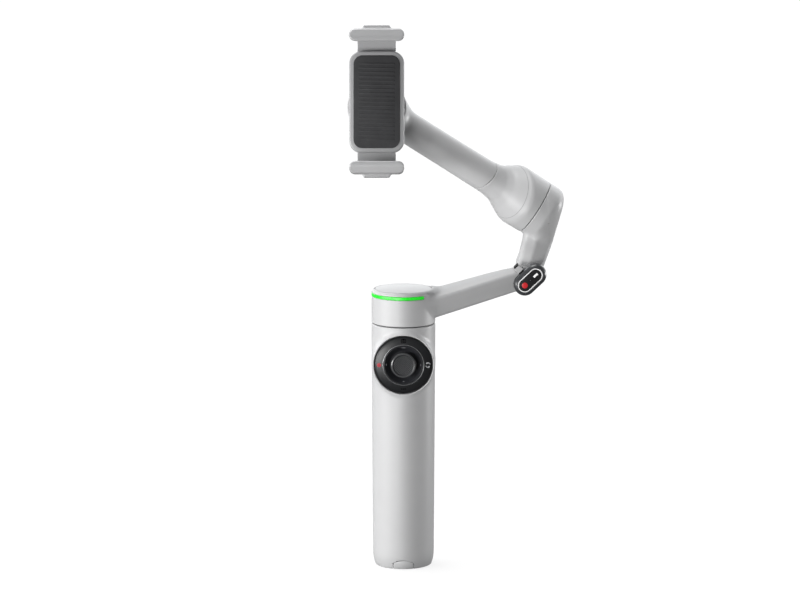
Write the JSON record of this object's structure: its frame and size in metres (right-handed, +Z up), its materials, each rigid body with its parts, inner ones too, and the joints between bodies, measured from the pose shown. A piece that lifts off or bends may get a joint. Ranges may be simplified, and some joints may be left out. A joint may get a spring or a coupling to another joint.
{
  "type": "gimbal stabilizer",
  "caption": "Handheld phone gimbal: round grip with joystick ring, extension rod, folding arm, tilt and roll motors, sprung phone clamp and pull-out tripod.",
  "frame": {"origin": "mouth of the tripod socket, centre of the grip's flat base", "axes": "+Z up the grip, -Y towards the user (control panel and phone screen), +X towards the arm"},
  "size_m": [0.1257, 0.0626, 0.3162],
  "materials": {
    "shell": "satin moulded plastic, light grey",
    "jaw_metal": "fine bead-blasted satin",
    "gloss_black": "gloss black",
    "soft_black": "soft-touch black with a fine grid",
    "dark_plastic": "satin charcoal",
    "pod_black": "semi-gloss black",
    "light_band": "translucent light guide, lit green",
    "rubber": "matte ribbed rubber",
    "steel": "bright steel",
    "rod_alloy": "satin anodised",
    "coil": "lacquered copper windings on a laminated core",
    "magnet": "nickel-plated magnet",
    "battery_wrap": "heat-shrink wrap",
    "board": "solder mask green"
  },
  "bodies": {
    "grip": {"grip_front_shell": "shell", "grip_back_shell": "shell", "rod_sleeve": "dark_plastic", "battery_pack": "battery_wrap", "main_board": "board", "usb_c_port": "steel", "shell_screws": "steel", "control_base": "dark_plastic", "ring_switches": "steel", "control_dish": "gloss_black", "trigger_pin": "steel"},
    "ring_carrier": {"ring_carrier": "dark_plastic"},
    "control_ring": {"control_ring": "gloss_black"},
    "joystick_yoke": {"joystick_yoke": "dark_plastic"},
    "joystick": {"joystick_stick": "soft_black", "joystick_cap": "soft_black"},
    "trigger": {"trigger": "dark_plastic"},
    "power_button": {"power_button": "dark_plastic"},
    "rod_1": {"rod_tube_1": "rod_alloy"},
    "rod_2": {"rod_tube_2": "rod_alloy"},
    "rod_3": {"rod_tube_3": "rod_alloy", "pan_base_plate": "steel", "pan_stator": "coil"},
    "pan_head": {"pan_arm_housing": "shell", "pan_magnets": "magnet", "pan_bearing": "steel", "pan_cap": "shell", "led_band": "light_band", "fold_pin": "steel", "fold_washer": "steel", "fold_stop": "shell", "hinge_pod": "pod_black"},
    "pod_button": {"pod_button": "pod_black"},
    "upper_arm": {"upper_arm": "shell", "tilt_stator": "coil"},
    "roll_arm": {"roll_arm": "shell", "tilt_magnets": "magnet", "tilt_bearing": "steel", "roll_housing_cap": "shell", "roll_stator": "coil", "roll_bearing": "steel"},
    "mount": {"roll_rotor": "steel", "roll_magnets": "magnet", "mount_plate": "dark_plastic", "mount_magnets": "magnet"},
    "clamp": {"clamp_base": "jaw_metal", "clamp_cover": "jaw_metal", "clamp_pad": "rubber", "clamp_spring_drum": "steel"},
    "jaw_upper": {"jaw_upper": "jaw_metal", "jaw_upper_liner": "rubber"},
    "jaw_lower": {"jaw_lower": "jaw_metal", "jaw_lower_liner": "rubber"},
    "tripod": {"tripod_hub": "shell", "tripod_stem": "steel", "leg_pins": "steel", "leg_feet": "rubber", "tripod_leg_1": "dark_plastic", "tripod_leg_2": "dark_plastic", "tripod_leg_3": "dark_plastic"}
  },
  "joints": [
    {"name": "ring_press_up_down", "type": "hinge", "parent": "grip", "child": "ring_carrier", "pos_m": [0, -0.01525, 0.121], "axis": [1, 0, 0], "range_deg": [-1.2, 1.2], "stiffness_Nm_per_rad": 0.3},
    {"name": "ring_press_sides", "type": "hinge", "parent": "ring_carrier", "child": "control_ring", "pos_m": [0, -0.01525, 0.121], "axis": [0, 0, 1], "range_deg": [-1.2, 1.2], "stiffness_Nm_per_rad": 0.3},
    {"name": "joystick_up_down", "type": "hinge", "parent": "grip", "child": "joystick_yoke", "pos_m": [0, -0.0115, 0.121], "axis": [1, 0, 0], "range_deg": [-12, 12], "stiffness_Nm_per_rad": 0.05},
    {"name": "joystick_sides", "type": "hinge", "parent": "joystick_yoke", "child": "joystick", "pos_m": [0, -0.0115, 0.121], "axis": [0, 0, 1], "range_deg": [-12, 12], "stiffness_Nm_per_rad": 0.05},
    {"name": "trigger_pull", "type": "hinge", "parent": "grip", "child": "trigger", "pos_m": [0, 0.0165, 0.1275], "axis": [-1, 0, 0], "range_deg": [0, 4], "stiffness_Nm_per_rad": 0.5, "springref_deg": -2.86},
    {"name": "power_press", "type": "slide", "parent": "grip", "child": "power_button", "axis": [0, -1, 0], "range_m": [0, 0.0005], "stiffness_N_per_m": 800, "springref_m": -0.0003},
    {"name": "rod_extend_1", "type": "slide", "parent": "grip", "child": "rod_1", "axis": [0, 0, 1], "range_m": [0, 0.068]},
    {"name": "rod_extend_2", "type": "slide", "parent": "rod_1", "child": "rod_2", "axis": [0, 0, 1], "range_m": [0, 0.068]},
    {"name": "rod_extend_3", "type": "slide", "parent": "rod_2", "child": "rod_3", "axis": [0, 0, 1], "range_m": [0, 0.068]},
    {"name": "pan_turn", "type": "hinge", "parent": "rod_3", "child": "pan_head", "pos_m": [0, 0, 0.15], "axis": [0, 0, 1], "continuous": true},
    {"name": "pod_press", "type": "slide", "parent": "pan_head", "child": "pod_button", "axis": [0, 1, 0], "range_m": [0, 0.0004], "stiffness_N_per_m": 600, "springref_m": -0.0003},
    {"name": "arm_fold", "type": "hinge", "parent": "pan_head", "child": "upper_arm", "pos_m": [0.073, 0.0095, 0.171], "axis": [0, -0.9397, -0.342], "range_deg": [0, 120]},
    {"name": "tilt_turn", "type": "hinge", "parent": "upper_arm", "child": "roll_arm", "pos_m": [0.0763, 0.019, 0.2071], "axis": [-0.8411, -0.0551, 0.5381], "range_deg": [-60, 90]},
    {"name": "roll_turn", "type": "hinge", "parent": "roll_arm", "child": "mount", "pos_m": [-0.0153, 0.013, 0.2657], "axis": [0, -0.9848, 0.1736], "range_deg": [-45, 100]},
    {"name": "clamp_release", "type": "slide", "parent": "mount", "child": "clamp", "axis": [0, -0.9848, 0.1736], "range_m": [0, 0.015]},
    {"name": "jaw_upper_slide", "type": "slide", "parent": "clamp", "child": "jaw_upper", "axis": [0, 0.1736, 0.9848], "range_m": [-0.00635, 0.00365]},
    {"name": "jaw_lower_slide", "type": "slide", "parent": "clamp", "child": "jaw_lower", "axis": [0, -0.1736, -0.9848], "range_m": [-0.00635, 0.00365]},
    {"name": "tripod_pull", "type": "slide", "parent": "grip", "child": "tripod", "axis": [0, 0, -1], "range_m": [0, 0.044]}
  ],
  "couplings": [
    {"joint": "jaw_lower_slide", "follows": "jaw_upper_slide", "ratio": 1}
  ]
}
